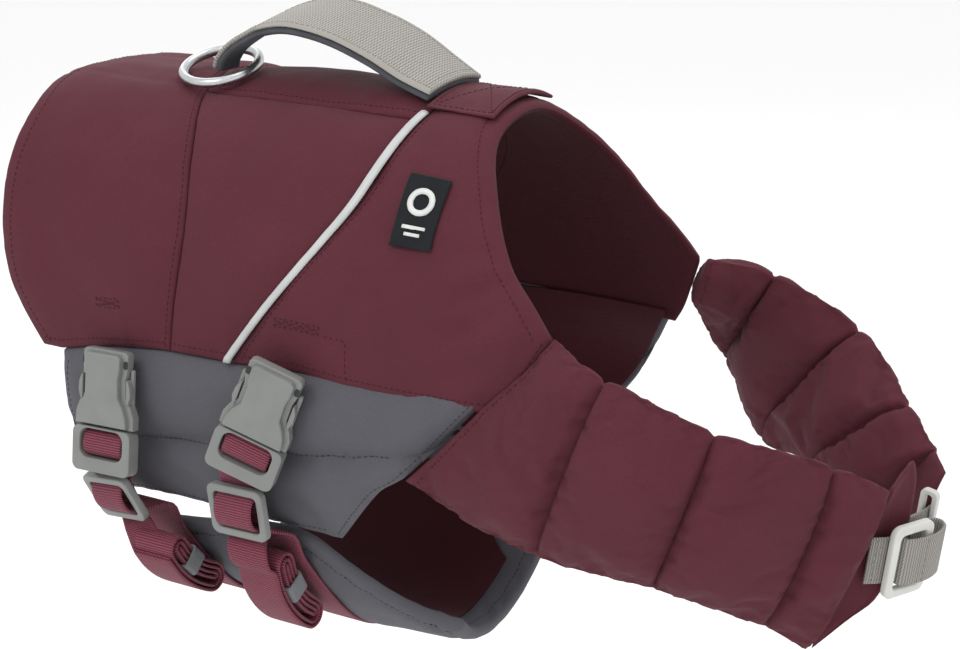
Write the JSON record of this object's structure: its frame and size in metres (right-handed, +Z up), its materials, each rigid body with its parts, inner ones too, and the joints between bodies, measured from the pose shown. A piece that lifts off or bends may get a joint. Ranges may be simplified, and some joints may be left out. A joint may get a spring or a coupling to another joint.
{
  "type": "dog life jacket",
  "caption": "Padded life jacket for a large dog with grey lower sides, grab handle, leash ring, side-release buckles and a quilted chest band.",
  "frame": {"origin": "on the wearer's back: the inner face of the spine strip, under the grab handle", "axes": "+X towards the dog's head, +Y to the dog's left, +Z up"},
  "size_m": [0.5004, 0.2637, 0.3344],
  "materials": {
    "burgundy_cloth": "matte woven shell",
    "burgundy_lining": "matte woven lining",
    "grey_cloth": "matte woven shell",
    "grey_webbing": "ribbed webbing",
    "burgundy_webbing": "ribbed webbing",
    "grey_neoprene": "matte",
    "grey_elastic": "knitted elastic",
    "reflective_piping": "reflective",
    "grey_plastic": "moulded satin",
    "pale_plastic": "moulded satin",
    "label_rubber": "soft matte",
    "steel_ring": "satin"
  },
  "bodies": {
    "jacket": {"rear_panel": "burgundy_cloth", "spine_strip": "burgundy_cloth", "front_panel": "burgundy_cloth", "middle_panel_near": "burgundy_cloth", "middle_panel_far": "burgundy_cloth", "arm_near": "burgundy_cloth", "arm_far": "burgundy_cloth", "tongue_near": "burgundy_cloth", "tongue_far": "burgundy_cloth", "front_patch": "burgundy_cloth", "lower_lining_near": "burgundy_lining", "lower_lining_far": "burgundy_lining", "belly_lining": "burgundy_lining", "lower_side_near": "grey_cloth", "lower_side_far": "grey_cloth", "belly_panel": "grey_cloth", "handle_webbing": "grey_webbing", "chest_webbing_near": "grey_webbing", "chest_webbing_loop": "grey_webbing", "chest_webbing_far": "grey_webbing", "strap_front": "burgundy_webbing", "strap_rear": "burgundy_webbing", "tab_front": "burgundy_webbing", "tab_rear": "burgundy_webbing", "handle_lining": "grey_neoprene", "keeper_front": "grey_elastic", "keeper_rear": "grey_elastic", "piping_near": "reflective_piping", "piping_far": "reflective_piping", "buckle_socket_front": "grey_plastic", "buckle_plug_front": "grey_plastic", "buckle_socket_rear": "grey_plastic", "buckle_plug_rear": "grey_plastic", "slider_front": "grey_plastic", "slider_rear": "grey_plastic", "chest_slider": "pale_plastic", "chest_slider_far": "pale_plastic", "label": "label_rubber"},
    "ring": {"leash_ring": "steel_ring"}
  },
  "joints": [
    {"name": "ring_lift", "type": "hinge", "parent": "jacket", "child": "ring", "pos_m": [-0.0482, -0.017, 0.0096], "axis": [0, 0.9588, 0.284], "range_deg": [0, 14]}
  ]
}
